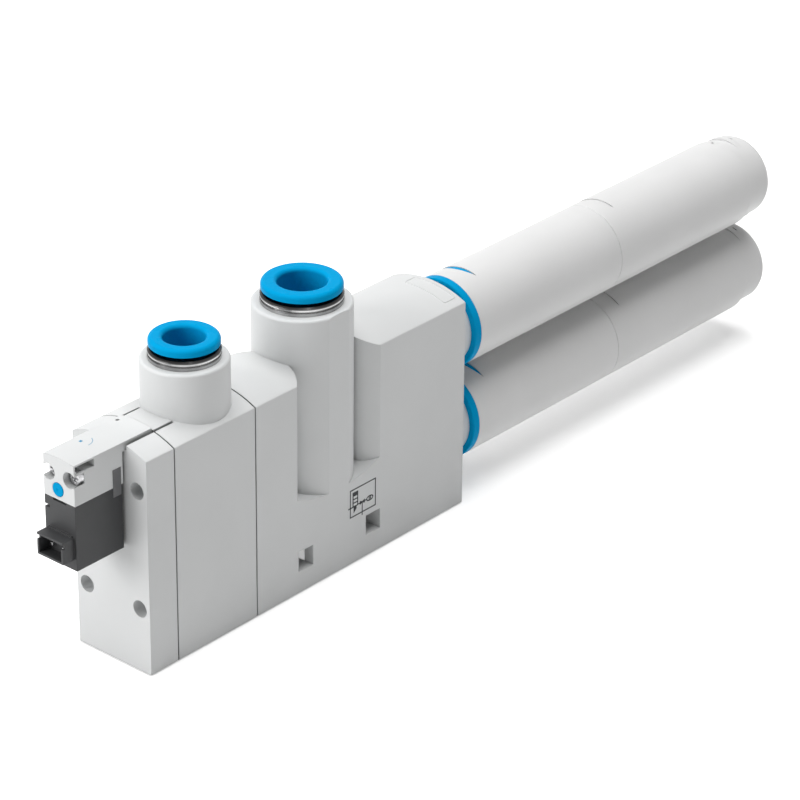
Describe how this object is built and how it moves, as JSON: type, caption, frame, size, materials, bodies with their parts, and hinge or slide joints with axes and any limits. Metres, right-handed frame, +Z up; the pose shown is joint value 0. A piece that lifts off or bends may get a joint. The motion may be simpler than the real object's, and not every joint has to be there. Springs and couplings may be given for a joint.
{
  "type": "vacuum ejector",
  "caption": "Compressed-air vacuum generator with a pilot valve, push-in tube ports and long silencers, used behind a suction gripper.",
  "frame": {"origin": "centre of the whole part's box, on its flat underside", "axes": "+X from the pilot valve towards the silencers, +Y across the width, +Z up out of the tube ports"},
  "size_m": [0.2636, 0.0242, 0.0763],
  "materials": {
    "housing_plastic": "fine moulded grain, light cool grey",
    "silencer_plastic": "smooth moulded, off-white",
    "blue_plastic": "smooth moulded, bright blue",
    "coil_plastic": "dark glass-filled moulding",
    "grey_plastic": "moulded, mid grey",
    "steel": "bare stainless steel",
    "plated_sleeve": "bright nickel plate",
    "brass": "turned brass",
    "aluminium": "turned aluminium",
    "seal_rubber": "black nitrile rubber",
    "copper": "enamelled copper wire",
    "foam": "open-cell absorbing foam"
  },
  "bodies": {
    "housing": {"end_plate": "housing_plastic", "plate_gasket": "seal_rubber", "valve_block": "housing_plastic", "block_gasket": "seal_rubber", "ejector_housing": "housing_plastic", "tie_screws": "steel", "supply_sleeve": "plated_sleeve", "supply_grip_ring": "steel", "supply_tube_seal": "seal_rubber", "vacuum_sleeve": "plated_sleeve", "vacuum_grip_ring": "steel", "vacuum_tube_seal": "seal_rubber", "valve_seat": "brass", "piston_spring": "steel", "jet_nozzle": "brass", "receiver_nozzle": "aluminium", "nozzle_seals": "seal_rubber", "pilot_body": "housing_plastic", "pilot_screws": "steel", "pilot_staple": "grey_plastic", "pilot_seal": "seal_rubber", "override_spring": "steel", "coil_housing": "coil_plastic", "coil_bobbin": "grey_plastic", "coil_winding": "copper", "fixed_core": "steel", "armature_spring": "steel", "connector_pins": "steel", "upper_lock_ring": "blue_plastic", "upper_base_silencer": "silencer_plastic", "upper_extension_silencer": "silencer_plastic", "upper_end_cap": "silencer_plastic", "upper_base_absorber": "foam", "upper_extension_absorber": "foam", "lower_lock_ring": "blue_plastic", "lower_base_silencer": "silencer_plastic", "lower_extension_silencer": "silencer_plastic", "lower_end_cap": "silencer_plastic", "lower_base_absorber": "foam", "lower_extension_absorber": "foam"},
    "override": {"override_button": "blue_plastic"},
    "armature_body": {"armature": "steel"},
    "piston": {"valve_piston": "aluminium", "piston_seal": "seal_rubber", "valve_poppet": "seal_rubber"},
    "supply_ring": {"supply_release_ring": "blue_plastic"},
    "vacuum_ring": {"vacuum_release_ring": "blue_plastic"}
  },
  "joints": [
    {"name": "override_press", "type": "slide", "parent": "housing", "child": "override", "axis": [1, 0, 0], "range_m": [0, 0.0007], "stiffness_N_per_m": 1500, "springref_m": -0.0005, "deforming": ["override_spring"]},
    {"name": "armature_lift", "type": "slide", "parent": "housing", "child": "armature_body", "axis": [0, 0, -1], "range_m": [0, 0.0005], "stiffness_N_per_m": 1500, "springref_m": -0.0006, "deforming": ["armature_spring"]},
    {"name": "piston_shift", "type": "slide", "parent": "housing", "child": "piston", "axis": [1, 0, 0], "range_m": [0, 0.002], "stiffness_N_per_m": 2500, "springref_m": -0.002, "deforming": ["piston_spring"]},
    {"name": "supply_release", "type": "slide", "parent": "housing", "child": "supply_ring", "axis": [0, 0, -1], "range_m": [0, 0.0008], "stiffness_N_per_m": 3000, "springref_m": -0.0005},
    {"name": "vacuum_release", "type": "slide", "parent": "housing", "child": "vacuum_ring", "axis": [0, 0, -1], "range_m": [0, 0.0008], "stiffness_N_per_m": 3000, "springref_m": -0.0005}
  ]
}
